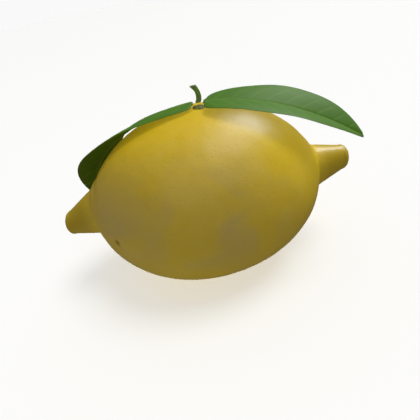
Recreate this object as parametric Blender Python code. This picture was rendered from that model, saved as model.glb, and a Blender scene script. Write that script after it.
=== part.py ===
"""A picked lemon with its stem and two leaves, lying on a small flat spot.

Metres, +Z up. The origin is the centre of the flat spot that the lemon rests on. +X runs along the
fruit towards the nub of the right end, and +Y is the side that the left leaf leans to.
"""

import math

import bmesh
import bpy
import numpy as np
from mathutils import Vector

# Driving dimensions of the fruit
HALF_LENGTH = 0.038        # of the egg-shaped body, without its nubs
HALF_WIDTH = 0.029         # of the body, which is round across its long axis
REST_HEIGHT = 0.0284       # height of the body's centre above the flat spot
NUB_REACH = 0.0493         # from the body's centre to the end of a nub
SHOULDER_RADIUS = 0.0095   # where the body turns into the furrow around a nub
CENTRELINE_BENDS_FROM = 0.033
NUB_FOOT = 0.037           # distance of a nub's foot from the body's centre
NUB_FLANK_ENDS = 0.0467    # where a nub's cap begins
CAP_SQUARENESS = 0.85      # below 1 the cap is blunter than an ellipse
FURROW_UP_FLANK = 0.0012   # how far the furrow's curve runs up a nub's flank
FURROW_PULLS = (0.0013, 0.0019)  # the curve's pull at the shoulder and at the flank

# Each nub: radius at its foot and at its cap, and how its centreline is lifted and tilted
NUBS = {
    +1: {"foot": 0.0075, "cap": 0.0042, "lift": 0.0010, "tilt": math.radians(6.5)},
    -1: {"foot": 0.0078, "cap": 0.0041, "lift": 0.0023, "tilt": math.radians(-13.5)},
}

# The stem's place on the fruit, and what stands on it
STEM_X = 0.0033
GAP = 0.0003               # left between pieces that touch
CALYX_RADIUS = 0.0019
CALYX_THICKNESS = 0.0004
CALYX_LOBES = 5
CALYX_LOBE_DEPTH = 0.10    # as a share of its radius
CALYX_EDGE_ROUNDING = 0.05  # as a share of its thickness
STEM_RADIUS = 0.00068
STEM_LENGTH = 0.0047
STEM_BOW = 0.0006          # how far the stem bows towards +X half way up
STEM_LEAN = -0.0006        # how far its top leans towards +X
STEM_FOOT_FLARE = 0.25     # as shares of its radius
STEM_TOP_FLARE = 0.30

# The leaves
BLADE_THICKNESS = 0.0006
RIB_THICKNESS = 0.0009     # of the midrib and of the petiole
RIB_HALF_WIDTH = 0.0007
PETIOLE_LENGTH = 0.0008
PETIOLE_HALF_WIDTH = 0.0015     # with its narrow wings, at the base
PETIOLE_WING_FADE = 5.0          # how soon the wings narrow

# Angles are in degrees. "left" and "right" are the blade's halves, seen from its base to its tip.
# A half's fullness, at its base and at its tip, rounds its outline where it is low.
LEAVES = {
    "leaf_right": {
        "base": (0.00455, -0.0003, 0.03030),
        "length": 0.0471,
        "heading": -15.0, "swing": -5.0,
        "rise": 2.2, "droop": 37.4, "droop_power": 0.77,
        "roll": 5.0, "twist": 6.8,
        "fold": 4.2, "fold_at_tip": 17.5,
        "left": {"half_width": 0.0087, "widest_at": 0.52, "fullness": (0.30, 0.75)},
        "right": {"half_width": 0.0076, "widest_at": 0.38, "fullness": (0.22, 0.55)},
    },
    "leaf_left": {
        "base": (0.00195, 0.0005, 0.03035),
        "length": 0.0574,
        "heading": 180.3, "swing": -35.3,
        "rise": -0.2, "droop": 75.0, "droop_power": 1.17,
        "roll": -4.3, "twist": 34.8,
        "fold": -5.1, "fold_at_tip": 15.8,
        "left": {"half_width": 0.0082, "widest_at": 0.57, "fullness": (0.22, 1.10)},
        "right": {"half_width": 0.0100, "widest_at": 0.72, "fullness": (0.87, 0.73)},
    },
}

# Mesh density
FRUIT_SIDES = 52
LEAF_SIDES = 16
LEAF_RINGS = 36

RIND_YELLOW = (0.66, 0.44, 0.05)
STEM_GREEN = (0.10, 0.14, 0.03)
CALYX_GREEN = (0.09, 0.13, 0.03)
LEAF_GREEN = (0.11, 0.24, 0.05)


def empty_the_scene():
    for thing in list(bpy.data.objects):
        bpy.data.objects.remove(thing, do_unlink=True)


def material(name, colour, roughness):
    """A Principled material of one colour."""
    made = bpy.data.materials.new(name)
    made.use_nodes = True
    shader = made.node_tree.nodes["Principled BSDF"]
    shader.inputs["Base Color"].default_value = (*colour, 1.0)
    shader.inputs["Roughness"].default_value = roughness
    shader.inputs["Metallic"].default_value = 0.0
    return made


def add_piece(name, mesh, finish, collection):
    """Link one named object for a mesh, shaded smooth, with its material."""
    mesh.materials.clear()
    mesh.materials.append(finish)
    mesh.shade_smooth()
    mesh.set_sharp_from_angle(angle=math.radians(50))
    piece = bpy.data.objects.new(name, mesh)
    collection.objects.link(piece)
    return piece


def mesh_from(bm, name):
    """Turn a bmesh into a mesh with its faces pointing out."""
    bmesh.ops.recalc_face_normals(bm, faces=bm.faces)
    if bm.calc_volume(signed=True) < 0.0:
        bmesh.ops.reverse_faces(bm, faces=bm.faces)
    mesh = bpy.data.meshes.new(name)
    bm.to_mesh(mesh)
    bm.free()
    return mesh


def shaped_sphere(sides, rings, place):
    """A UV sphere whose points go where place(ring, angle) puts them.

    ring counts from one pole to the other, and angle runs around the sphere's axis.
    """
    bm = bmesh.new()
    bmesh.ops.create_uvsphere(bm, u_segments=sides, v_segments=rings, radius=1.0)
    for vert in bm.verts:
        ring = round(math.acos(max(-1.0, min(1.0, vert.co.z))) / math.pi * rings)
        vert.co = place(ring, math.atan2(vert.co.y, vert.co.x))
    return bm


def smooth_step(x):
    x = max(0.0, min(1.0, x))
    return x * x * (3.0 - 2.0 * x)


def body_height(x, y):
    """Height of the body's upper surface above its centre."""
    return HALF_WIDTH * math.sqrt(1.0 - (x / HALF_LENGTH) ** 2 - (y / HALF_WIDTH) ** 2)


def bezier(a, b, c, d, steps):
    """Points of a cubic curve after its first point."""
    curve = []
    for i in range(1, steps + 1):
        t = i / steps
        u = 1.0 - t
        curve.append(u ** 3 * a + 3 * u * u * t * b + 3 * u * t * t * c + t ** 3 * d)
    return curve


def end_profile(nub):
    """One half of the fruit's outline as (distance along, radius), from the middle to a nub's end."""
    shoulder = math.acos(SHOULDER_RADIUS / HALF_WIDTH)
    body_steps = 15
    outline = []
    for i in range(body_steps + 1):
        angle = shoulder * i / body_steps
        outline.append(Vector((HALF_LENGTH * math.sin(angle), HALF_WIDTH * math.cos(angle))))

    # A tight furrow joins the body's shoulder to the nub's straight flank.
    foot = Vector((NUB_FOOT, nub["foot"]))
    flank_end = Vector((NUB_FLANK_ENDS, nub["cap"]))
    flank = (flank_end - foot).normalized()
    flank_start = foot + flank * FURROW_UP_FLANK
    body_ends = (outline[-1] - outline[-2]).normalized()
    pull_body, pull_nub = FURROW_PULLS
    outline += bezier(
        outline[-1], outline[-1] + body_ends * pull_body, flank_start - flank * pull_nub, flank_start, 5
    )
    flank_steps = 4
    for i in range(1, flank_steps + 1):
        outline.append(flank_start.lerp(flank_end, i / flank_steps))

    # The blunt cap closes the end.
    cap_steps = 6
    cap_length = NUB_REACH - NUB_FLANK_ENDS
    for i in range(1, cap_steps + 1):
        angle = 0.5 * math.pi * i / cap_steps
        outline.append(Vector((
            NUB_FLANK_ENDS + cap_length * math.sin(angle) ** CAP_SQUARENESS,
            nub["cap"] * max(0.0, math.cos(angle)) ** CAP_SQUARENESS,
        )))
    outline[-1].y = 0.0
    return outline


def centreline_height(along, nub):
    """Height of the fruit's centreline above the body's centre, at a distance along one end."""
    bend = smooth_step((along - CENTRELINE_BENDS_FROM) / (NUB_FOOT - CENTRELINE_BENDS_FROM))
    beyond = max(0.0, along - NUB_FOOT)
    return nub["lift"] * bend + math.tan(nub["tilt"]) * beyond


def fruit_mesh():
    """The whole lemon: a turned body with two bent nubs, cut flat where it rests."""
    profiles = {end: end_profile(nub) for end, nub in NUBS.items()}
    half_rings = len(profiles[1]) - 1

    def place(ring, angle):
        end = 1 if ring <= half_rings else -1
        along, radius = profiles[end][abs(half_rings - ring)]
        middle = REST_HEIGHT + centreline_height(along, NUBS[end])
        return Vector((end * along, -radius * math.sin(angle), middle + radius * math.cos(angle)))

    bm = shaped_sphere(FRUIT_SIDES, 2 * half_rings, place)
    everything = bm.verts[:] + bm.edges[:] + bm.faces[:]
    cut = bmesh.ops.bisect_plane(
        bm, geom=everything, plane_co=(0, 0, 0), plane_no=(0, 0, -1), clear_outer=True, dist=1e-6
    )
    rim = [piece for piece in cut["geom_cut"] if isinstance(piece, bmesh.types.BMEdge)]
    bmesh.ops.contextual_create(bm, geom=rim)
    return mesh_from(bm, "fruit")


def calyx_mesh():
    """A thin five-lobed button that follows the fruit's surface under the stem."""
    rings = 10

    def place(ring, angle):
        tilt = math.pi * ring / rings
        lobes = 1.0 + CALYX_LOBE_DEPTH * math.cos(CALYX_LOBES * angle)
        reach = CALYX_RADIUS * lobes * math.sin(tilt)
        x = STEM_X + reach * math.cos(angle)
        y = reach * math.sin(angle)
        above = CALYX_THICKNESS * max(0.0, math.cos(tilt))
        below = CALYX_EDGE_ROUNDING * CALYX_THICKNESS * min(0.0, math.cos(tilt))
        return Vector((x, y, REST_HEIGHT + body_height(x, y) + GAP + above + below))

    return mesh_from(shaped_sphere(30, rings, place), "calyx")


def stem_mesh():
    """A short bowed stem, a little thicker at its foot and at its cut top."""
    curve = bpy.data.curves.new("stem_path", "CURVE")
    curve.dimensions = "3D"
    curve.bevel_depth = STEM_RADIUS
    curve.bevel_resolution = 3
    curve.use_fill_caps = True
    count = 9
    path = curve.splines.new("POLY")
    path.points.add(count - 1)
    foot_z = REST_HEIGHT + body_height(STEM_X, 0.0) + CALYX_THICKNESS + 2 * GAP
    for i, point in enumerate(path.points):
        t = i / (count - 1)
        x = STEM_X + STEM_BOW * math.sin(math.pi * t) + STEM_LEAN * t ** 2
        point.co = (x, 0.0, foot_z + STEM_LENGTH * t, 1.0)
        point.radius = 1.0 + STEM_FOOT_FLARE * (1.0 - t) ** 4 + STEM_TOP_FLARE * t ** 6
    guide = bpy.data.objects.new("stem_path", curve)
    bpy.context.scene.collection.objects.link(guide)
    evaluated = guide.evaluated_get(bpy.context.evaluated_depsgraph_get())
    bm = bmesh.new()
    bm.from_mesh(bpy.data.meshes.new_from_object(evaluated))
    bmesh.ops.remove_doubles(bm, verts=bm.verts, dist=1e-6)
    bpy.data.objects.remove(guide, do_unlink=True)
    return mesh_from(bm, "stem")


def midrib(leaf, rings):
    """Points of a leaf's midrib at each ring, with the directions across and out of its blade."""
    fine = 400
    s = np.linspace(0.0, 1.0, fine + 1)
    heading = np.radians(leaf["heading"] + leaf["swing"] * s)
    pitch = np.radians(leaf["rise"] - leaf["droop"] * s ** leaf["droop_power"])
    along = np.stack(
        [np.cos(pitch) * np.cos(heading), np.cos(pitch) * np.sin(heading), np.sin(pitch)], axis=1
    )
    steps = 0.5 * (along[1:] + along[:-1]) * leaf["length"] / fine
    start = np.array(leaf["base"]) + (0.0, 0.0, REST_HEIGHT)
    points = start + np.vstack([np.zeros(3), np.cumsum(steps, axis=0)])
    level = np.stack([-np.sin(heading), np.cos(heading), 0.0 * s], axis=1)
    above = np.cross(along, level)
    roll = np.radians(leaf["roll"] + leaf["twist"] * s)[:, None]
    across = level * np.cos(roll) + above * np.sin(roll)
    out = -level * np.sin(roll) + above * np.cos(roll)
    frames = []
    for ring in range(rings + 1):
        share = 0.5 * (1.0 - math.cos(math.pi * ring / rings))
        k = round(share * fine)
        frames.append((share, Vector(points[k]), Vector(across[k]), Vector(out[k])))
    return frames


def blade_half_width(leaf, half, share):
    """Half-width of one half of a blade, at a share of the leaf's length from its base."""
    from_base = share * leaf["length"]
    blade = max(0.0, (from_base - PETIOLE_LENGTH) / (leaf["length"] - PETIOLE_LENGTH))
    power = math.log(0.5) / math.log(half["widest_at"])
    at_base, at_tip = half["fullness"]
    taper = at_base + (at_tip - at_base) * blade
    width = half["half_width"] * max(0.0, math.sin(math.pi * blade ** power)) ** taper
    rounding = min(1.0, from_base / RIB_HALF_WIDTH)
    petiole = PETIOLE_HALF_WIDTH * math.sqrt(1.0 - (1.0 - rounding) ** 2)
    petiole *= (1.0 - share) ** PETIOLE_WING_FADE
    return max(width, petiole)


def leaf_mesh(name, leaf):
    """A leaf: a thin blade folded along its midrib, with its petiole at the base."""
    frames = midrib(leaf, LEAF_RINGS)

    def place(ring, angle):
        share, point, across, out = frames[ring]
        if ring in (0, LEAF_RINGS):
            return point
        half = leaf["left"] if math.cos(angle) >= 0.0 else leaf["right"]
        offset = math.cos(angle) * blade_half_width(leaf, half, share)
        fold = math.radians(leaf["fold"] + (leaf["fold_at_tip"] - leaf["fold"]) * share)
        near_rib = math.exp(-(offset / RIB_HALF_WIDTH) ** 2) * (1.0 - share)
        thickness = BLADE_THICKNESS + (RIB_THICKNESS - BLADE_THICKNESS) * near_rib
        rounding = min(1.0, share * leaf["length"] / RIB_HALF_WIDTH)
        lift = abs(offset) * math.sin(fold) + 0.5 * thickness * math.sin(angle) * rounding
        return point + across * offset * math.cos(fold) + out * lift

    return mesh_from(shaped_sphere(LEAF_SIDES, LEAF_RINGS, place), name)


def build():
    empty_the_scene()
    lemon = bpy.data.collections.new("lemon")
    bpy.context.scene.collection.children.link(lemon)
    add_piece("fruit", fruit_mesh(), material("lemon rind", RIND_YELLOW, 0.38), lemon)
    add_piece("calyx", calyx_mesh(), material("calyx", CALYX_GREEN, 0.60), lemon)
    add_piece("stem", stem_mesh(), material("green stem", STEM_GREEN, 0.55), lemon)
    for name, leaf in LEAVES.items():
        add_piece(name, leaf_mesh(name, leaf), material(name, LEAF_GREEN, 0.45), lemon)


build()
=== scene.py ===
"""Looks for a picked lemon with its calyx, stem and two leaves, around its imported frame."""

import math

import bmesh
import bpy
import numpy as np
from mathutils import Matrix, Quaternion, Vector


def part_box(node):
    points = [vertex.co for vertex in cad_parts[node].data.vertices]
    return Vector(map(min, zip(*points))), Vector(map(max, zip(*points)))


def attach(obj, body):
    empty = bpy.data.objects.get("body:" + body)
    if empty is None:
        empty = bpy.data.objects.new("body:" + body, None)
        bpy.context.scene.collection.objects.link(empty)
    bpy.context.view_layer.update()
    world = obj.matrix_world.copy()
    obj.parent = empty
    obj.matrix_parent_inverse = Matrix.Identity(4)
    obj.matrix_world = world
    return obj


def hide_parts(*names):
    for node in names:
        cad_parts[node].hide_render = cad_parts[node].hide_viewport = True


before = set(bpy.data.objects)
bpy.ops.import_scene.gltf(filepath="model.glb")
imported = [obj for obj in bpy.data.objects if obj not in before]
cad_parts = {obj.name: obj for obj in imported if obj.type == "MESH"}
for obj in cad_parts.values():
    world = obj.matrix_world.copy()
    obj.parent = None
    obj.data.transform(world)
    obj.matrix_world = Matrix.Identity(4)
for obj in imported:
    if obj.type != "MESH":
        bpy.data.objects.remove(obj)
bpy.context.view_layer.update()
MM = 0.001


# ---- The fruit ----------------------------------------------------------------------------------
# A ripe lemon: an egg-shaped body with a blunt nub at each end, all one grown piece. Its rind is a
# waxy skin over a layer of oil glands. It lies on the side that its own weight has pressed flat.

fruit_low, fruit_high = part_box("fruit")
BODY_HALF_WIDTH = (fruit_high.y - fruit_low.y) / 2
BODY_HALF_LENGTH = 38 * MM
BODY_CENTRE = Vector((0, 0, fruit_high.z - BODY_HALF_WIDTH))
NUB_REACH = (fruit_high.x - fruit_low.x) / 2
NUB_FOOT = 37 * MM             # distance of a nub's foot from the body's centre
NUB_FLANK_ENDS = 46.7 * MM     # where its blunt cap begins
NUB_CAP_SQUARENESS = 0.85
SHOULDER_RADIUS = 9.5 * MM     # where the body turns into the furrow around a nub
FURROW_UP_FLANK = 1.2 * MM
FURROW_PULLS = (1.3 * MM, 1.9 * MM)
CENTRELINE_BENDS_FROM = 33 * MM
# Each nub: radius at its foot and at its cap, and how its centreline is lifted and tilted
NUBS = {
    +1: {"foot": 7.5 * MM, "cap": 4.2 * MM, "lift": 1.0 * MM, "tilt": math.radians(6.5)},
    -1: {"foot": 7.8 * MM, "cap": 4.1 * MM, "lift": 2.3 * MM, "tilt": math.radians(-13.5)},
}
FRUIT_SIDES = 256
RINGS_IN = {"body": 88, "furrow": 20, "flank": 34, "cap": 26}   # in each half of the fruit


def linear(hex_colour):
    """An sRGB hex colour as linear red, green, blue and alpha."""
    values = [int(hex_colour[i:i + 2], 16) / 255 for i in (1, 3, 5)]
    return (*(v / 12.92 if v <= 0.04045 else ((v + 0.055) / 1.055) ** 2.4 for v in values), 1.0)


def add_node(tree, kind, inputs=None, output=0, **settings):
    """Add a node with its settings and give its output.

    An input is named or numbered among those in use, and takes a value or another node's output.
    """
    node = tree.nodes.new(kind)
    for name, value in settings.items():
        setattr(node, name, value)
    for key, value in (inputs or {}).items():
        used = [socket for socket in node.inputs if socket.enabled]
        socket = used[key] if isinstance(key, int) else next(s for s in used if s.name == key)
        if isinstance(value, bpy.types.NodeSocket):
            tree.links.new(value, socket)
        else:
            socket.default_value = value
    used = [socket for socket in node.outputs if socket.enabled]
    if isinstance(output, str):
        return next(socket for socket in used if socket.name == output)
    return used[output] if used else node


def new_material(name):
    """A new Principled material, with its tree, its shader and its object coordinates."""
    made = bpy.data.materials.new(name)
    made.use_nodes = True
    tree = made.node_tree
    place = add_node(tree, "ShaderNodeTexCoord", output="Object")
    return made, tree, tree.nodes["Principled BSDF"], place


def start_tree(name, inputs):
    """A geometry node tree with these named inputs: gives it and its inputs' sockets."""
    kinds = {float: "Float", int: "Int", Vector: "Vector", bpy.types.Material: "Material"}
    tree = bpy.data.node_groups.new(name, "GeometryNodeTree")
    tree.interface.new_socket("Geometry", in_out="INPUT", socket_type="NodeSocketGeometry")
    tree.interface.new_socket("Geometry", in_out="OUTPUT", socket_type="NodeSocketGeometry")
    for label, value in inputs.items():
        kind = "NodeSocket" + kinds[type(value)]
        tree.interface.new_socket(label, in_out="INPUT", socket_type=kind)
    return tree, tree.nodes.new("NodeGroupInput").outputs


def end_tree(tree, geometry, material):
    """Close a tree: its instances are made real, and it takes its material."""
    real = add_node(tree, "GeometryNodeRealizeInstances", {"Geometry": geometry})
    done = add_node(tree, "GeometryNodeSetMaterial", {"Geometry": real, "Material": material})
    add_node(tree, "NodeGroupOutput", {"Geometry": done})


def run_tree(piece, tree, inputs):
    """Run a tree on a piece, and make the result the piece's plain mesh."""
    modifier = piece.modifiers.new(tree.name, "NODES")
    modifier.node_group = tree
    for item in tree.interface.items_tree:
        if item.name in inputs:
            modifier[item.identifier] = inputs[item.name]
    graph = bpy.context.evaluated_depsgraph_get()
    mesh = bpy.data.meshes.new_from_object(
        piece.evaluated_get(graph), preserve_all_data_layers=True, depsgraph=graph
    )
    piece.modifiers.remove(modifier)
    mesh.shade_smooth()
    piece.data = mesh


def sphere_points(sides, rings, notes=()):
    """A UV sphere's bmesh, with each point's ring from pole to pole and its angle around.

    Each note is the name of a number that every point can carry.
    """
    bm = bmesh.new()
    for note in notes:
        bm.verts.layers.float.new(note)
    bmesh.ops.create_uvsphere(bm, u_segments=sides, v_segments=rings, radius=1.0)
    points = []
    for vert in bm.verts:
        ring = round(math.acos(max(-1.0, min(1.0, vert.co.z))) / math.pi * rings)
        points.append((vert, ring, math.atan2(vert.co.y, vert.co.x)))
    return bm, points


def piece_from(bm, name):
    """Turn a bmesh into a piece with its faces pointing out."""
    bmesh.ops.recalc_face_normals(bm, faces=bm.faces)
    if bm.calc_volume(signed=True) < 0.0:
        bmesh.ops.reverse_faces(bm, faces=bm.faces)
    mesh = bpy.data.meshes.new(name)
    bm.to_mesh(mesh)
    bm.free()
    piece = bpy.data.objects.new(name, mesh)
    bpy.context.scene.collection.objects.link(piece)
    return piece


def bezier(a, b, c, d, steps):
    """Points of a cubic curve after its first point."""
    curve = []
    for i in range(1, steps + 1):
        t = i / steps
        u = 1.0 - t
        curve.append(u ** 3 * a + 3 * u * u * t * b + 3 * u * t * t * c + t ** 3 * d)
    return curve


def half_outline(nub):
    """One half of the fruit's outline as (distance along, radius), from its middle to its end."""
    shoulder = math.acos(SHOULDER_RADIUS / BODY_HALF_WIDTH)
    outline = []
    for i in range(RINGS_IN["body"] + 1):
        angle = shoulder * i / RINGS_IN["body"]
        outline.append(
            Vector((BODY_HALF_LENGTH * math.sin(angle), BODY_HALF_WIDTH * math.cos(angle)))
        )
    foot = Vector((NUB_FOOT, nub["foot"]))
    flank_end = Vector((NUB_FLANK_ENDS, nub["cap"]))
    flank = (flank_end - foot).normalized()
    flank_start = foot + flank * FURROW_UP_FLANK
    body_ends = (outline[-1] - outline[-2]).normalized()
    pull_body, pull_nub = FURROW_PULLS
    outline += bezier(
        outline[-1], outline[-1] + body_ends * pull_body,
        flank_start - flank * pull_nub, flank_start, RINGS_IN["furrow"],
    )
    for i in range(1, RINGS_IN["flank"] + 1):
        outline.append(flank_start.lerp(flank_end, i / RINGS_IN["flank"]))
    for i in range(1, RINGS_IN["cap"] + 1):
        angle = 0.5 * math.pi * i / RINGS_IN["cap"]
        outline.append(Vector((
            NUB_FLANK_ENDS + (NUB_REACH - NUB_FLANK_ENDS) * math.sin(angle) ** NUB_CAP_SQUARENESS,
            nub["cap"] * max(0.0, math.cos(angle)) ** NUB_CAP_SQUARENESS,
        )))
    outline[-1].y = 0.0
    return outline


def centreline_height(along, nub):
    """Height of the fruit's centreline above the body's centre, at a distance along one end."""
    x = max(0.0, min(1.0, (along - CENTRELINE_BENDS_FROM) / (NUB_FOOT - CENTRELINE_BENDS_FROM)))
    return nub["lift"] * x * x * (3 - 2 * x) + math.tan(nub["tilt"]) * max(0.0, along - NUB_FOOT)


outlines = {end: half_outline(nub) for end, nub in NUBS.items()}
half_rings = len(outlines[1]) - 1
bm, points = sphere_points(FRUIT_SIDES, 2 * half_rings)
for vert, ring, angle in points:
    end = 1 if ring <= half_rings else -1
    along, radius = outlines[end][abs(half_rings - ring)]
    middle = BODY_CENTRE.z + centreline_height(along, NUBS[end])
    vert.co = (end * along, -radius * math.sin(angle), middle + radius * math.cos(angle))
fruit = piece_from(bm, "lemon_fruit")

# Waxed lemon rind: a thin clear wax over a yellow, slightly translucent skin. The wax gives broad
# satin highlights, and the oil glands under it show as fine pores and a faint mottling.
PORE_SPACING = 1.3 * MM        # drawn a little coarser than real oil glands, or they wouldn't show
PORE_DEPTH = 0.05 * MM
MOTTLE_SIZE = 7 * MM
BLUSH_SIZE = 28 * MM
# Size of the greyish patches of painted reflection.
SHEEN_PATCH_SIZE = 16 * MM
# Painted shade on the nubs sets in over this stretch along the fruit.
NUB_SHADE_FROM, NUB_SHADE_TO = 36 * MM, 41 * MM    # how far along, where the body turns into a nub
rind, tree, shader, place = new_material("waxed_lemon_rind")
blush = add_node(
    tree, "ShaderNodeTexNoise", {"Vector": place, "Scale": 1 / BLUSH_SIZE, "Detail": 2.0}
)
mottle = add_node(
    tree, "ShaderNodeTexNoise", {"Vector": place, "Scale": 1 / MOTTLE_SIZE, "Detail": 7.0}
)
pores = add_node(
    tree, "ShaderNodeTexVoronoi", {"Vector": place, "Scale": 1 / PORE_SPACING}
)
pits = add_node(
    tree, "ShaderNodeMapRange", {"Value": pores, "From Min": 0.05, "From Max": 0.42},
    interpolation_type="SMOOTHSTEP",
)
stain = add_node(
    tree, "ShaderNodeAttribute", output="Fac", attribute_type="GEOMETRY", attribute_name="stain"
)
colour = add_node(
    tree, "ShaderNodeMix", {"Factor": blush, "A": linear("#e8c61c"), "B": linear("#dcb612")},
    data_type="RGBA",
)
ripple = add_node(
    tree, "ShaderNodeMapRange",
    {"Value": mottle, "From Min": 0.35, "From Max": 0.65, "To Max": 0.22},
)
colour = add_node(
    tree, "ShaderNodeMix", {"Factor": ripple, "A": colour, "B": linear("#eed348")},
    data_type="RGBA",
)
oil = add_node(
    tree, "ShaderNodeMapRange", {"Value": pits, "To Min": 0.08, "To Max": 0.0}
)
colour = add_node(
    tree, "ShaderNodeMix", {"Factor": oil, "A": colour, "B": linear("#b98a0a")}, data_type="RGBA"
)
# Painted shade: the nubs are darkened to a dull olive, most towards their ends.
along = add_node(tree, "ShaderNodeSeparateXYZ", {0: place}, output="X")
from_middle = add_node(tree, "ShaderNodeMath", {0: along}, operation="ABSOLUTE")
nub_painted_shade = add_node(
    tree, "ShaderNodeMapRange",
    {"Value": from_middle, "From Min": NUB_SHADE_FROM, "From Max": NUB_SHADE_TO, "To Max": 0.42},
)
colour = add_node(
    tree, "ShaderNodeMix", {"Factor": nub_painted_shade, "A": colour, "B": linear("#8a7608")}, data_type="RGBA"
)
# Painted reflection: greyish tan patches stand in for a soft sheen of light on the wax.
painted_sheen = add_node(
    tree, "ShaderNodeAttribute", output="Fac", attribute_type="GEOMETRY", attribute_name="painted_sheen"
)
patches = add_node(
    tree, "ShaderNodeTexNoise",
    {"Vector": place, "Scale": 1 / SHEEN_PATCH_SIZE, "Detail": 5.0, "Distortion": 0.8},
)
patchy = add_node(
    tree, "ShaderNodeMapRange",
    {"Value": patches, "From Min": 0.38, "From Max": 0.62, "To Min": 0.3},
    interpolation_type="SMOOTHSTEP",
)
painted_sheen = add_node(tree, "ShaderNodeMath", {0: painted_sheen, 1: patchy}, operation="MULTIPLY", use_clamp=True)
colour = add_node(
    tree, "ShaderNodeMix", {"Factor": painted_sheen, "A": colour, "B": linear("#bfaa76")}, data_type="RGBA"
)
colour = add_node(
    tree, "ShaderNodeMix", {"Factor": stain, "A": colour, "B": linear("#4a3a12")}, data_type="RGBA"
)
tree.links.new(colour, shader.inputs["Base Color"])
gloss = add_node(
    tree, "ShaderNodeMapRange", {"Value": mottle, "To Min": 0.30, "To Max": 0.46}
)
tree.links.new(gloss, shader.inputs["Roughness"])
relief = add_node(
    tree, "ShaderNodeMath", {0: mottle, 1: 0.35, 2: pits}, operation="MULTIPLY_ADD"
)
tree.links.new(
    add_node(tree, "ShaderNodeBump", {"Strength": 0.40, "Distance": PORE_DEPTH, "Height": relief}),
    shader.inputs["Normal"],
)
shader.inputs["IOR"].default_value = 1.42
shader.inputs["Subsurface Weight"].default_value = 0.08
shader.inputs["Subsurface Radius"].default_value = (1.0, 0.75, 0.1)
shader.inputs["Subsurface Scale"].default_value = 2.5 * MM
shader.inputs["Coat Weight"].default_value = 0.12
shader.inputs["Coat Roughness"].default_value = 0.22

# Growth makes no body quite round: broad swells and small lumps, of a size that each piece gives.
GROWN = {
    "Swell size": 24 * MM, "Swell height": 1.1 * MM,
    "Lump size": 4.5 * MM, "Lump height": 0.16 * MM, "Seed": 3, "Material": rind,
}
grown, sizes = start_tree("grown_relief", GROWN)
position = add_node(grown, "GeometryNodeInputPosition")
normal = add_node(grown, "GeometryNodeInputNormal")
height = 0.0
for kind in ("Swell", "Lump"):
    scale = add_node(
        grown, "ShaderNodeMath", {0: 1.0, 1: sizes[kind + " size"]}, operation="DIVIDE"
    )
    noise = add_node(
        grown, "ShaderNodeTexNoise",
        {"Vector": position, "W": sizes["Seed"], "Scale": scale, "Detail": 1.0},
        noise_dimensions="4D",
    )
    centred = add_node(grown, "ShaderNodeMath", {0: noise, 1: 0.5}, operation="SUBTRACT")
    height = add_node(
        grown, "ShaderNodeMath", {0: centred, 1: sizes[kind + " height"], 2: height},
        operation="MULTIPLY_ADD",
    )
offset = add_node(grown, "ShaderNodeVectorMath", {0: normal, "Scale": height}, operation="SCALE")
moved = add_node(
    grown, "GeometryNodeSetPosition", {"Geometry": sizes["Geometry"], "Offset": offset}
)
end_tree(grown, moved, sizes["Material"])
run_tree(fruit, grown, GROWN)

# Marks of growth and handling, and patches of painted reflection: where each is, how wide, how far
# it stands out, how brown it is and how much painted sheen it carries.
MARKS = {
    "Scar": (BODY_CENTRE + Vector((-28.7, -19.0, 1.8)) * MM, 0.85 * MM, -0.55 * MM, 0.75, 0.0),
    "Scar lip": (BODY_CENTRE + Vector((-25.2, -21.6, 2.5)) * MM, 2.6 * MM, 0.40 * MM, 0.0, 0.0),
    "Style dimple": (BODY_CENTRE + Vector((49.3, 0.0, 2.0)) * MM, 1.2 * MM, -0.60 * MM, 0.8, 0.0),
    "Neck dimple": (BODY_CENTRE + Vector((-49.3, 0.0, -0.7)) * MM, 1.6 * MM, -0.35 * MM, 0.25, 0.0),
    # The last two are patches of painted reflection, a greyish sheen on the front and the front
    # left.
    "Painted sheen front": (BODY_CENTRE + Vector((2.0, -26.0, 8.0)) * MM, 17.0 * MM, 0.0, 0.0, 0.60),
    "Painted sheen side": (BODY_CENTRE + Vector((-27.0, -17.0, 6.0)) * MM, 13.0 * MM, 0.0, 0.0, 0.55),
}
MARKED = {"Contact softness": 0.12 * MM, "Material": rind}
for label, (spot, width, proud, brown, sheen_share) in MARKS.items():
    MARKED[label + " place"] = spot
    MARKED[label + " width"] = width
    MARKED[label + " height"] = proud
    MARKED[label + " stain"] = brown
    MARKED[label + " wear"] = sheen_share
marked, sizes = start_tree("rind_marks", MARKED)
position = add_node(marked, "GeometryNodeInputPosition")
normal = add_node(marked, "GeometryNodeInputNormal")
height = stain = sheen_paint = 0.0
for label in MARKS:
    away = add_node(
        marked, "ShaderNodeVectorMath", {0: position, 1: sizes[label + " place"]},
        operation="DISTANCE",
    )
    share = add_node(
        marked, "ShaderNodeMath", {0: away, 1: sizes[label + " width"]}, operation="DIVIDE"
    )
    square = add_node(marked, "ShaderNodeMath", {0: share, 1: share}, operation="MULTIPLY")
    falling = add_node(marked, "ShaderNodeMath", {0: square, 1: -1.0}, operation="MULTIPLY")
    bell = add_node(marked, "ShaderNodeMath", {0: falling}, operation="EXPONENT")
    height = add_node(
        marked, "ShaderNodeMath", {0: bell, 1: sizes[label + " height"], 2: height},
        operation="MULTIPLY_ADD",
    )
    stain = add_node(
        marked, "ShaderNodeMath", {0: bell, 1: sizes[label + " stain"], 2: stain},
        operation="MULTIPLY_ADD",
    )
    sheen_paint = add_node(
        marked, "ShaderNodeMath", {0: bell, 1: sizes[label + " wear"], 2: sheen_paint},
        operation="MULTIPLY_ADD",
    )
offset = add_node(marked, "ShaderNodeVectorMath", {0: normal, "Scale": height}, operation="SCALE")
stained = add_node(
    marked, "GeometryNodeStoreNamedAttribute",
    {"Geometry": sizes["Geometry"], "Name": "stain", "Value": stain}, domain="POINT",
)
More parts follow.
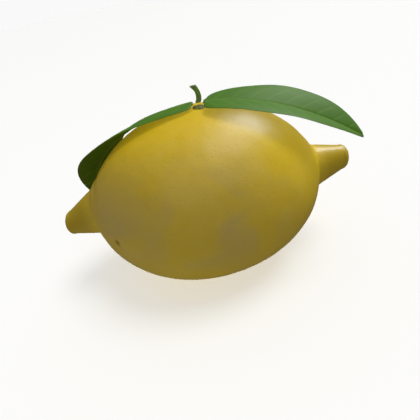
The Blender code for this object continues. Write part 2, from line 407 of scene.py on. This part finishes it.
# Each point also keeps its share of painted reflection, a greyish sheen for the rind's colour.
painted_sheen = add_node(
    marked, "GeometryNodeStoreNamedAttribute",
    {"Geometry": stained, "Name": "painted_sheen", "Value": sheen_paint}, domain="POINT",
)
dented = add_node(marked, "GeometryNodeSetPosition", {"Geometry": painted_sheen, "Offset": offset})
# Where the fruit would sink below the ground it is pressed flat, with a soft edge to the flat spot.
side, front, up = [
    add_node(marked, "ShaderNodeSeparateXYZ", {0: position}, output=axis) for axis in "XYZ"
]
softness = add_node(
    marked, "ShaderNodeMath", {0: sizes["Contact softness"], 1: 2.0}, operation="POWER"
)
square = add_node(
    marked, "ShaderNodeMath", {0: up, 1: up, 2: softness}, operation="MULTIPLY_ADD"
)
root = add_node(marked, "ShaderNodeMath", {0: square}, operation="SQRT")
doubled = add_node(marked, "ShaderNodeMath", {0: up, 1: root}, operation="ADD")
level = add_node(marked, "ShaderNodeMath", {0: doubled, 1: 0.5}, operation="MULTIPLY")
pressed = add_node(marked, "ShaderNodeCombineXYZ", {"X": side, "Y": front, "Z": level})
rested = add_node(marked, "GeometryNodeSetPosition", {"Geometry": dented, "Position": pressed})
end_tree(marked, rested, sizes["Material"])
run_tree(fruit, marked, MARKED)

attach(fruit, "root")
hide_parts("fruit")


# ---- The calyx ----------------------------------------------------------------------------------
# The button that joined the stem to the fruit: five short fleshy lobes, green mottled with a drier
# brown, pressed flat on the rind all round the stem's foot.

calyx_low, calyx_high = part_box("calyx")
CALYX_RADIUS = (calyx_high.y - calyx_low.y) / 2
CALYX_LOBES = 5
CALYX_LOBE_DEPTH = 0.16        # as a share of its radius
CALYX_THICKNESS = 0.4 * MM
CALYX_GROOVE = 0.25            # depth of the grooves between its lobes, as a share of its thickness
CALYX_UNDERSIDE = 0.05         # fullness of its underside, as a share of its thickness
CALYX_GAP = 0.15 * MM          # between the rind and its underside
CALYX_WRINKLE_SIZE = 0.8 * MM
CALYX_WRINKLE_DEPTH = 0.06 * MM
STEM_X = 3.3 * MM
CALYX_SIDES = 100
CALYX_RINGS = 40


def body_top(x, y):
    """Height of the body's upper surface."""
    inside = 1.0 - (x / BODY_HALF_LENGTH) ** 2 - (y / BODY_HALF_WIDTH) ** 2
    return BODY_CENTRE.z + BODY_HALF_WIDTH * math.sqrt(inside)


bm, points = sphere_points(CALYX_SIDES, CALYX_RINGS)
for vert, ring, angle in points:
    tilt = math.pi * ring / CALYX_RINGS
    between_lobes = 0.5 - 0.5 * math.cos(CALYX_LOBES * angle)
    lobes = 1.0 - CALYX_LOBE_DEPTH * between_lobes ** 3
    reach = CALYX_RADIUS * lobes * math.sin(tilt)
    x = STEM_X + reach * math.cos(angle)
    y = reach * math.sin(angle)
    groove = CALYX_GROOVE * between_lobes ** 4 * math.sin(tilt)
    rise = math.cos(tilt) * (1.0 - groove if tilt < math.pi / 2 else CALYX_UNDERSIDE)
    vert.co = (x, y, body_top(x, y) + CALYX_GAP + CALYX_THICKNESS * rise)
calyx = piece_from(bm, "calyx_button")

# Fleshy green plant skin, matt and finely wrinkled, browner where it has dried.
calyx_skin, tree, shader, place = new_material("dried_green_calyx")
wrinkles = add_node(
    tree, "ShaderNodeTexNoise", {"Vector": place, "Scale": 1 / CALYX_WRINKLE_SIZE, "Detail": 5.0}
)
colour = add_node(
    tree, "ShaderNodeMix",
    {"Factor": wrinkles, "A": linear("#6f7d2b"), "B": linear("#4d4a1c")}, data_type="RGBA",
)
tree.links.new(colour, shader.inputs["Base Color"])
bump = add_node(
    tree, "ShaderNodeBump",
    {"Strength": 0.8, "Distance": CALYX_WRINKLE_DEPTH, "Height": wrinkles},
)
tree.links.new(bump, shader.inputs["Normal"])
shader.inputs["Roughness"].default_value = 0.6
run_tree(calyx, grown, {
    "Swell size": 1.6 * MM, "Swell height": 0.15 * MM,
    "Lump size": 0.4 * MM, "Lump height": 0.05 * MM, "Seed": 5, "Material": calyx_skin,
})

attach(calyx, "root")
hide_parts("calyx")


# ---- The stem -----------------------------------------------------------------------------------
# The fruit's stalk, cut off short: green bark with lengthwise ridges, a spread foot on the calyx,
# and a slightly wider top that was crushed as it was cut and has dried darker.

stem_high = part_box("stem")[1]
STEM_RADIUS = 0.68 * MM
STEM_LENGTH = 4.7 * MM
STEM_FOOT = stem_high.z - STEM_LENGTH
STEM_BOW = 0.6 * MM
STEM_LEAN = -0.6 * MM
STEM_FOOT_FLARE = 0.25         # as shares of its radius
STEM_TOP_FLARE = 0.30
STEM_CUT_DISH = 0.15 * MM      # how far the pith has sunk below the cut's rim
STEM_SIDES = 72
STEM_RINGS = 90
STEM_FOOT_TO = 0.04            # share of the rings in which its foot closes
STEM_CUT_FROM = 0.90           # share of the rings after which the cut face begins
BARK_FLECK_SIZE = 0.7 * MM
BARK_FLECK_DEPTH = 0.05 * MM

bm, points = sphere_points(STEM_SIDES, STEM_RINGS, ("up", "around"))
up, around = bm.verts.layers.float.values()
for vert, ring, angle in points:
    share = 1.0 - ring / STEM_RINGS
    t = min(1.0, share / STEM_CUT_FROM)
    radius = STEM_RADIUS * (1.0 + STEM_FOOT_FLARE * (1.0 - t) ** 4 + STEM_TOP_FLARE * t ** 6)
    radius *= min(1.0, share / STEM_FOOT_TO) ** 0.5
    height = STEM_FOOT + STEM_LENGTH * t
    if share > STEM_CUT_FROM:
        inward = (share - STEM_CUT_FROM) / (1.0 - STEM_CUT_FROM)
        radius *= 1.0 - inward
        height -= STEM_CUT_DISH * (1.0 - (1.0 - inward) ** 2)
    x = STEM_X + STEM_BOW * math.sin(math.pi * t) + STEM_LEAN * t ** 2
    vert.co = (x + radius * math.cos(angle), radius * math.sin(angle), height)
    vert[up] = share
    vert[around] = angle
stem = piece_from(bm, "stem_twig")

# Green bark: matt, with paler ridges and darker furrows, and a dry dark cut.
bark, tree, shader, place = new_material("ridged_green_bark")
ridge = add_node(tree, "ShaderNodeAttribute", output="Fac", attribute_name="ridge")
height = add_node(tree, "ShaderNodeAttribute", output="Fac", attribute_name="up")
flecks = add_node(
    tree, "ShaderNodeTexNoise", {"Vector": place, "Scale": 1 / BARK_FLECK_SIZE, "Detail": 5.0}
)
colour = add_node(
    tree, "ShaderNodeMix", {"Factor": ridge, "A": linear("#56802c"), "B": linear("#8fb452")},
    data_type="RGBA",
)
colour = add_node(
    tree, "ShaderNodeMix", {"Factor": flecks, "A": colour, "B": linear("#6f8a38")},
    data_type="RGBA",
)
dried = add_node(
    tree, "ShaderNodeMapRange",
    {"Value": height, "From Min": 0.78, "From Max": 0.95, "To Max": 0.8},
)
colour = add_node(
    tree, "ShaderNodeMix", {"Factor": dried, "A": colour, "B": linear("#3f4a17")}, data_type="RGBA"
)
tree.links.new(colour, shader.inputs["Base Color"])
bump = add_node(
    tree, "ShaderNodeBump", {"Strength": 0.6, "Distance": BARK_FLECK_DEPTH, "Height": flecks}
)
tree.links.new(bump, shader.inputs["Normal"])
shader.inputs["Roughness"].default_value = 0.55

RIDGED = {"Ridges": 7.0, "Ridge depth": 0.07 * MM, "Twist": 1.2, "Material": bark}
ridged, sizes = start_tree("stem_ridges", RIDGED)
up = add_node(ridged, "GeometryNodeInputNamedAttribute", {"Name": "up"}, data_type="FLOAT")
around = add_node(ridged, "GeometryNodeInputNamedAttribute", {"Name": "around"}, data_type="FLOAT")
normal = add_node(ridged, "GeometryNodeInputNormal")
turned = add_node(
    ridged, "ShaderNodeMath", {0: up, 1: sizes["Twist"], 2: around}, operation="MULTIPLY_ADD"
)
phase = add_node(ridged, "ShaderNodeMath", {0: turned, 1: sizes["Ridges"]}, operation="MULTIPLY")
wave = add_node(ridged, "ShaderNodeMath", {0: phase}, operation="COSINE")
crest = add_node(ridged, "ShaderNodeMath", {0: wave, 1: 0.5, 2: 0.5}, operation="MULTIPLY_ADD")
height = add_node(
    ridged, "ShaderNodeMath", {0: wave, 1: sizes["Ridge depth"]}, operation="MULTIPLY"
)
offset = add_node(ridged, "ShaderNodeVectorMath", {0: normal, "Scale": height}, operation="SCALE")
kept = add_node(
    ridged, "GeometryNodeStoreNamedAttribute",
    {"Geometry": sizes["Geometry"], "Name": "ridge", "Value": crest}, domain="POINT",
)
moved = add_node(ridged, "GeometryNodeSetPosition", {"Geometry": kept, "Offset": offset})
end_tree(ridged, moved, sizes["Material"])
run_tree(stem, ridged, RIDGED)
run_tree(stem, grown, {
    "Swell size": 1.8 * MM, "Swell height": 0.30 * MM,
    "Lump size": 0.5 * MM, "Lump height": 0.06 * MM, "Seed": 8, "Material": bark,
})

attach(stem, "root")
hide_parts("stem")


# ---- The leaves ---------------------------------------------------------------------------------
# Two leathery citrus leaves, each on its own short petiole. A leaf is one thin blade, folded a
# little along its midrib, with a groove above and a rib below, and with side veins to its margin.

BLADE_THICKNESS = 0.45 * MM
RIB_THICKNESS = 0.8 * MM
RIB_HALF_WIDTH = 0.7 * MM
PETIOLE_LENGTH = 0.8 * MM
PETIOLE_HALF_WIDTH = 1.5 * MM  # with its narrow wings, at the base
PETIOLE_WING_FADE = 5.0        # how soon the wings narrow
LEAF_COLUMNS = 120             # around a blade, over its upper and lower faces
LEAF_RINGS = 220

# Angles are in degrees. "left" and "right" are the blade's halves, seen from its base to its tip.
# A half's fullness, at its base and at its tip, rounds its outline where it is low.
LEAVES = {
    "leaf_right": {
        "base": (4.55 * MM, -0.3 * MM, 30.3 * MM),
        "length": 47.1 * MM,
        "heading": -15.0, "swing": -5.0,
        "rise": 2.2, "droop": 37.4, "droop_power": 0.77,
        "roll": 5.0, "twist": 6.8,
        "fold": 4.2, "fold_at_tip": 17.5,
        "left": {"half_width": 8.7 * MM, "widest_at": 0.52, "fullness": (0.30, 0.75)},
        "right": {"half_width": 7.6 * MM, "widest_at": 0.38, "fullness": (0.22, 0.55)},
    },
    "leaf_left": {
        "base": (1.95 * MM, 0.5 * MM, 30.35 * MM),
        "length": 57.4 * MM,
        "heading": 180.3, "swing": -35.3,
        "rise": -0.2, "droop": 75.0, "droop_power": 1.17,
        "roll": -4.3, "twist": 34.8,
        "fold": -5.1, "fold_at_tip": 15.8,
        "left": {"half_width": 8.2 * MM, "widest_at": 0.57, "fullness": (0.22, 1.10)},
        "right": {"half_width": 10.0 * MM, "widest_at": 0.72, "fullness": (0.87, 0.73)},
    },
}
CAMBER = 0.30 * MM             # how far each half bulges between the midrib and the margin
WAVE_HEIGHT = 0.12 * MM        # of the margin's waves
WAVE_LENGTH = 19 * MM
TIP_ROUNDING = 0.02            # share of the length in which the tip thins to a point
LEAF_CLOUD_SIZE = 8 * MM
LEAF_CELL_SIZE = 0.9 * MM      # real ones are finer, and wouldn't show
LEAF_CELL_DEPTH = 0.04 * MM
VEIN_WANDER_SIZE = 9 * MM


def midrib(leaf, shares):
    """A leaf's midrib at shares of its length: points, and the ways across and out of its blade."""
    fine = 1200
    s = np.linspace(0.0, 1.0, fine + 1)
    heading = np.radians(leaf["heading"] + leaf["swing"] * s)
    pitch = np.radians(leaf["rise"] - leaf["droop"] * s ** leaf["droop_power"])
    along = np.stack(
        [np.cos(pitch) * np.cos(heading), np.cos(pitch) * np.sin(heading), np.sin(pitch)], axis=1
    )
    steps = 0.5 * (along[1:] + along[:-1]) * leaf["length"] / fine
    start = np.array(BODY_CENTRE) + leaf["base"]
    line = start + np.vstack([np.zeros(3), np.cumsum(steps, axis=0)])
    level = np.stack([-np.sin(heading), np.cos(heading), 0.0 * s], axis=1)
    above = np.cross(along, level)
    roll = np.radians(leaf["roll"] + leaf["twist"] * s)[:, None]
    across = level * np.cos(roll) + above * np.sin(roll)
    out = -level * np.sin(roll) + above * np.cos(roll)
    picked = [round(share * fine) for share in shares]
    return [(Vector(line[k]), Vector(across[k]), Vector(out[k])) for k in picked]


def blade_half_width(leaf, half, share):
    """Half-width of one half of a blade, at a share of the leaf's length from its base."""
    from_base = share * leaf["length"]
    blade = max(0.0, (from_base - PETIOLE_LENGTH) / (leaf["length"] - PETIOLE_LENGTH))
    power = math.log(0.5) / math.log(half["widest_at"])
    at_base, at_tip = half["fullness"]
    taper = at_base + (at_tip - at_base) * blade
    width = half["half_width"] * max(0.0, math.sin(math.pi * blade ** power)) ** taper
    rounding = min(1.0, from_base / RIB_HALF_WIDTH)
    petiole = PETIOLE_HALF_WIDTH * math.sqrt(1.0 - (1.0 - rounding) ** 2)
    petiole *= (1.0 - share) ** PETIOLE_WING_FADE
    return max(width, petiole)


def blade(name, leaf):
    """One leaf's closed blade, which remembers how far along and across it each point is."""
    shares = []
    for ring in range(LEAF_RINGS + 1):
        even = ring / LEAF_RINGS
        shares.append(0.7 * even + 0.3 * 0.5 * (1.0 - math.cos(math.pi * even)))
    frames = midrib(leaf, shares)
    bm, points = sphere_points(LEAF_COLUMNS, LEAF_RINGS, ("along", "across", "rimward", "upper"))
    layers = bm.verts.layers.float
    for vert, ring, angle in points:
        share = shares[ring]
        point, across, out = frames[ring]
        face = 1.0 if angle >= -1e-6 else -1.0
        # Columns crowd together at the midrib and at the rim, where the blade bends most.
        turn = 1.0 - abs(angle) / (0.5 * math.pi)
        outward = turn * turn * (3.0 - 2.0 * abs(turn))
        side = math.copysign(1.0, turn)
        half = leaf["left"] if side > 0 else leaf["right"]
        width = blade_half_width(leaf, half, share)
        offset = outward * width
        fold = math.radians(leaf["fold"] + (leaf["fold_at_tip"] - leaf["fold"]) * share)
        near_rib = math.exp(-(offset / RIB_HALF_WIDTH) ** 2) * (1.0 - share)
        thickness = BLADE_THICKNESS + (RIB_THICKNESS - BLADE_THICKNESS) * near_rib
        rounding = min(1.0, share * leaf["length"] / RIB_HALF_WIDTH, (1.0 - share) / TIP_ROUNDING)
        rim = math.sqrt(max(0.0, 1.0 - outward ** 6))
        spread = width / half["half_width"]
        phase = 2.0 * math.pi * share * leaf["length"] / WAVE_LENGTH + side
        bulge = CAMBER * math.sin(math.pi * outward) * spread
        wave = WAVE_HEIGHT * outward ** 3 * math.sin(phase) * spread * math.sin(math.pi * share)
        lift = offset * math.sin(fold) + bulge + wave + 0.5 * face * thickness * rim * rounding
        vert.co = point + across * side * offset * math.cos(fold) + out * lift
        vert[layers["along"]] = share * leaf["length"]
        vert[layers["across"]] = side * offset
        vert[layers["rimward"]] = outward
        vert[layers["upper"]] = face
    return piece_from(bm, name)


# Citrus leaf: a leathery blade under a worn waxy cuticle, which gives a soft sheen. It is mid green
# above and duller below, with slightly paler veins.
leaf_skin, tree, shader, place = new_material("waxy_citrus_leaf")
vein = add_node(tree, "ShaderNodeAttribute", output="Fac", attribute_name="vein")
upper = add_node(tree, "ShaderNodeAttribute", output="Fac", attribute_name="upper")
clouds = add_node(
    tree, "ShaderNodeTexNoise", {"Vector": place, "Scale": 1 / LEAF_CLOUD_SIZE, "Detail": 4.0}
)
cells = add_node(
    tree, "ShaderNodeTexVoronoi", {"Vector": place, "Scale": 1 / LEAF_CELL_SIZE},
    feature="DISTANCE_TO_EDGE",
)
green = add_node(
    tree, "ShaderNodeMix", {"Factor": clouds, "A": linear("#447218"), "B": linear("#588528")},
    data_type="RGBA",
)
green = add_node(
    tree, "ShaderNodeMix", {"Factor": vein, "A": green, "B": linear("#6f9a3c")}, data_type="RGBA"
)
under = add_node(
    tree, "ShaderNodeMix", {"Factor": vein, "A": linear("#4c6a14"), "B": linear("#6f8a2c")},
    data_type="RGBA",
)
colour = add_node(
    tree, "ShaderNodeMix", {"Factor": upper, "A": under, "B": green}, data_type="RGBA"
)
tree.links.new(colour, shader.inputs["Base Color"])
gloss = add_node(
    tree, "ShaderNodeMapRange", {"Value": upper, "To Min": 0.65, "To Max": 0.55}
)
tree.links.new(gloss, shader.inputs["Roughness"])
bump = add_node(
    tree, "ShaderNodeBump", {"Strength": 0.35, "Distance": LEAF_CELL_DEPTH, "Height": cells}
)
tree.links.new(bump, shader.inputs["Normal"])
shader.inputs["IOR"].default_value = 1.40
shader.inputs["Specular IOR Level"].default_value = 0.25

VEINED = {
    "Vein spacing": 4.8 * MM, "Vein slant": 0.75, "Vein sweep": 28.0, "Vein width": 0.30 * MM,
    "Vein wander": 0.25, "Vein stagger": 0.23, "Vein paleness": 0.30,
    "Groove depth": 0.05 * MM, "Rib height": 0.08 * MM,
    "Midrib width": 0.45 * MM, "Midrib groove": 0.16 * MM, "Midrib ridge": 0.22 * MM,
    "Midrib paleness": 0.5, "Seed": 2, "Material": leaf_skin,
}
veined, sizes = start_tree("leaf_veins", VEINED)
along, across, rimward, upper = [
    add_node(veined, "GeometryNodeInputNamedAttribute", {"Name": key}, data_type="FLOAT")
    for key in ("along", "across", "rimward", "upper")
]
position = add_node(veined, "GeometryNodeInputPosition")
normal = add_node(veined, "GeometryNodeInputNormal")
outward = add_node(veined, "ShaderNodeMath", {0: across}, operation="ABSOLUTE")
# Side veins leave the midrib at a slant and sweep forward; the two halves' veins alternate.
slanted = add_node(
    veined, "ShaderNodeMath", {0: outward, 1: sizes["Vein slant"]}, operation="MULTIPLY"
)
bent = add_node(veined, "ShaderNodeMath", {0: outward, 1: outward}, operation="MULTIPLY")
bent = add_node(
    veined, "ShaderNodeMath", {0: bent, 1: sizes["Vein sweep"], 2: slanted},
    operation="MULTIPLY_ADD",
)
back = add_node(veined, "ShaderNodeMath", {0: along, 1: bent}, operation="SUBTRACT")
count = add_node(
    veined, "ShaderNodeMath", {0: back, 1: sizes["Vein spacing"]}, operation="DIVIDE"
)
noise = add_node(
    veined, "ShaderNodeTexNoise",
    {"Vector": position, "W": sizes["Seed"], "Scale": 1 / VEIN_WANDER_SIZE}, noise_dimensions="4D",
)
count = add_node(
    veined, "ShaderNodeMath", {0: noise, 1: sizes["Vein wander"], 2: count},
    operation="MULTIPLY_ADD",
)
handed = add_node(veined, "ShaderNodeMath", {0: across}, operation="SIGN")
count = add_node(
    veined, "ShaderNodeMath", {0: handed, 1: sizes["Vein stagger"], 2: count},
    operation="MULTIPLY_ADD",
)
nearest = add_node(veined, "ShaderNodeMath", {0: count}, operation="ROUND")
away = add_node(veined, "ShaderNodeMath", {0: count, 1: nearest}, operation="SUBTRACT")
away = add_node(
    veined, "ShaderNodeMath", {0: away, 1: sizes["Vein spacing"]}, operation="MULTIPLY"
)


def bell_of(distance, width):
    """A smooth ridge across a distance, as a socket of the vein tree."""
    share = add_node(veined, "ShaderNodeMath", {0: distance, 1: width}, operation="DIVIDE")
    square = add_node(veined, "ShaderNodeMath", {0: share, 1: share}, operation="MULTIPLY")
    falling = add_node(veined, "ShaderNodeMath", {0: square, 1: -1.0}, operation="MULTIPLY")
    return add_node(veined, "ShaderNodeMath", {0: falling}, operation="EXPONENT")


side_vein = bell_of(away, sizes["Vein width"])
fade = add_node(
    veined, "ShaderNodeMapRange",
    {"Value": rimward, "From Min": 0.55, "From Max": 0.95, "To Min": 1.0, "To Max": 0.0},
)
side_vein = add_node(veined, "ShaderNodeMath", {0: side_vein, 1: fade}, operation="MULTIPLY")
rib = bell_of(across, sizes["Midrib width"])
groove = add_node(
    veined, "ShaderNodeMath", {0: side_vein, 1: sizes["Groove depth"]}, operation="MULTIPLY"
)
groove = add_node(
    veined, "ShaderNodeMath", {0: rib, 1: sizes["Midrib groove"], 2: groove},
    operation="MULTIPLY_ADD",
)
ridge = add_node(
    veined, "ShaderNodeMath", {0: side_vein, 1: sizes["Rib height"]}, operation="MULTIPLY"
)
ridge = add_node(
    veined, "ShaderNodeMath", {0: rib, 1: sizes["Midrib ridge"], 2: ridge},
    operation="MULTIPLY_ADD",
)
is_upper = add_node(veined, "ShaderNodeMath", {0: upper, 1: 0.0}, operation="GREATER_THAN")
sunk = add_node(veined, "ShaderNodeMath", {0: groove, 1: -1.0}, operation="MULTIPLY")
height = add_node(
    veined, "ShaderNodeMix", {"Factor": is_upper, "A": ridge, "B": sunk}, data_type="FLOAT"
)
offset = add_node(veined, "ShaderNodeVectorMath", {0: normal, "Scale": height}, operation="SCALE")
pale_vein = add_node(
    veined, "ShaderNodeMath", {0: side_vein, 1: sizes["Vein paleness"]}, operation="MULTIPLY"
)
pale_rib = add_node(
    veined, "ShaderNodeMath", {0: rib, 1: sizes["Midrib paleness"]}, operation="MULTIPLY"
)
pale = add_node(veined, "ShaderNodeMath", {0: pale_vein, 1: pale_rib}, operation="MAXIMUM")
kept = add_node(
    veined, "GeometryNodeStoreNamedAttribute",
    {"Geometry": sizes["Geometry"], "Name": "vein", "Value": pale}, domain="POINT",
)
moved = add_node(veined, "GeometryNodeSetPosition", {"Geometry": kept, "Offset": offset})
end_tree(veined, moved, sizes["Material"])

for name, leaf in LEAVES.items():
    piece = blade(name + "_blade", leaf)
    run_tree(piece, veined, VEINED)
    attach(piece, "root")
    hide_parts(name)


# ---- The studio ---------------------------------------------------------------------------------
# A plain pale floor in a white room, with soft daylight from overhead and from behind on the right,
# and what the floor throws back from below.

FLOOR_HALF_SIZE = 20.0
floor_mesh = bpy.data.meshes.new("floor")
bm = bmesh.new()
bmesh.ops.create_grid(bm, x_segments=1, y_segments=1, size=FLOOR_HALF_SIZE)
bm.to_mesh(floor_mesh)
bm.free()
floor = bpy.data.objects.new("floor", floor_mesh)
bpy.context.scene.collection.objects.link(floor)
# It reflects no light on the lemon, so the lemon keeps its deep lower shade.
floor.visible_diffuse = floor.visible_glossy = False
paper, tree, shader, place = new_material("matt_white_paper")
shader.inputs["Base Color"].default_value = linear("#fdfdfc")
shader.inputs["Roughness"].default_value = 0.9
shader.inputs["Specular IOR Level"].default_value = 0.1
floor_mesh.materials.append(paper)


def place_light(light, direction, distance=0.0):
    """Hang a light in a direction from the lemon, facing it, and give its object."""
    lamp = bpy.data.objects.new(light.name, light)
    lamp.location = BODY_CENTRE + Vector(direction).normalized() * distance
    lamp.rotation_mode = "QUATERNION"
    lamp.rotation_quaternion = Vector(direction).to_track_quat("Z", "Y")
    lamp.visible_camera = False
    bpy.context.scene.collection.objects.link(lamp)
    return lamp


# Broad light from so far off that floor and lemon get it evenly: direction, width, strength and
# whether it casts shadows. What the room and the floor throw back casts none, and what the floor
# throws back doesn't shine on the wax.
DAYLIGHT = {
    "overhead": ((0.38, 0.0, 0.93), math.radians(28), 0.24, True),
    "behind": ((0.54, 0.47, 0.70), math.radians(28), 0.68, False),
    "floor_bounce": ((-0.60, -0.10, -0.79), math.radians(60), 0.17, False),
}
for name, (direction, width, strength, shades) in DAYLIGHT.items():
    light = bpy.data.lights.new(name, "SUN")
    light.angle = width
    light.energy = strength * math.pi
    light.use_shadow = shades
    place_light(light, direction).visible_glossy = name != "floor_bounce"
# A dim window in front, which only shows as a soft sheen on the wax.
WINDOW_DIRECTION, WINDOW_DISTANCE, WINDOW_SIZE, WINDOW_POWER = (-0.15, -0.66, 0.74), 1.5, 1.6, 3.5
light = bpy.data.lights.new("window", "AREA")
light.shape = "DISK"
light.size = WINDOW_SIZE
light.energy = WINDOW_POWER
place_light(light, WINDOW_DIRECTION, WINDOW_DISTANCE).visible_diffuse = False

world = bpy.data.worlds.new("white_room")
world.use_nodes = True
tree = world.node_tree
# The room is white to look at, lights the lemon dimly, and hardly shows in its wax.
ROOM_SEEN, ROOM_LIGHTING, ROOM_REFLECTED = 0.95, 0.30, 0.06
seen = add_node(tree, "ShaderNodeLightPath", output="Is Camera Ray")
lighting = add_node(tree, "ShaderNodeLightPath", output="Is Diffuse Ray")
brightness = add_node(
    tree, "ShaderNodeMath", {0: seen, 1: ROOM_SEEN - ROOM_REFLECTED, 2: ROOM_REFLECTED},
    operation="MULTIPLY_ADD",
)
brightness = add_node(
    tree, "ShaderNodeMath", {0: lighting, 1: ROOM_LIGHTING - ROOM_REFLECTED, 2: brightness},
    operation="MULTIPLY_ADD",
)
tree.links.new(brightness, tree.nodes["Background"].inputs["Strength"])
tree.nodes["Background"].inputs["Color"].default_value = (1.0, 1.0, 1.0, 1.0)
bpy.context.scene.world = world
bpy.context.scene.view_settings.view_transform = "Standard"

CAMERA_AIM = BODY_CENTRE + Vector((-0.11, 0.0, -7.9)) * MM
CAMERA_ELEVATION = math.radians(33.0)
CAMERA_DISTANCE = 104 * MM
CAMERA_ROLL = math.radians(-12.63)
CAMERA_LENS = 25.72
CAMERA_CLIP_START = 10 * MM
camera_data = bpy.data.cameras.new("camera")
camera_data.sensor_width = 36.0
camera_data.lens = CAMERA_LENS
camera_data.clip_start = CAMERA_CLIP_START
camera = bpy.data.objects.new("camera", camera_data)
camera.location = BODY_CENTRE + CAMERA_DISTANCE * Vector(
    (0.0, -math.cos(CAMERA_ELEVATION), math.sin(CAMERA_ELEVATION))
)
camera.rotation_mode = "QUATERNION"
facing = (CAMERA_AIM - camera.location).to_track_quat("-Z", "Y")
camera.rotation_quaternion = facing @ Quaternion((0.0, 0.0, 1.0), CAMERA_ROLL)
bpy.context.scene.collection.objects.link(camera)
bpy.context.scene.camera = camera
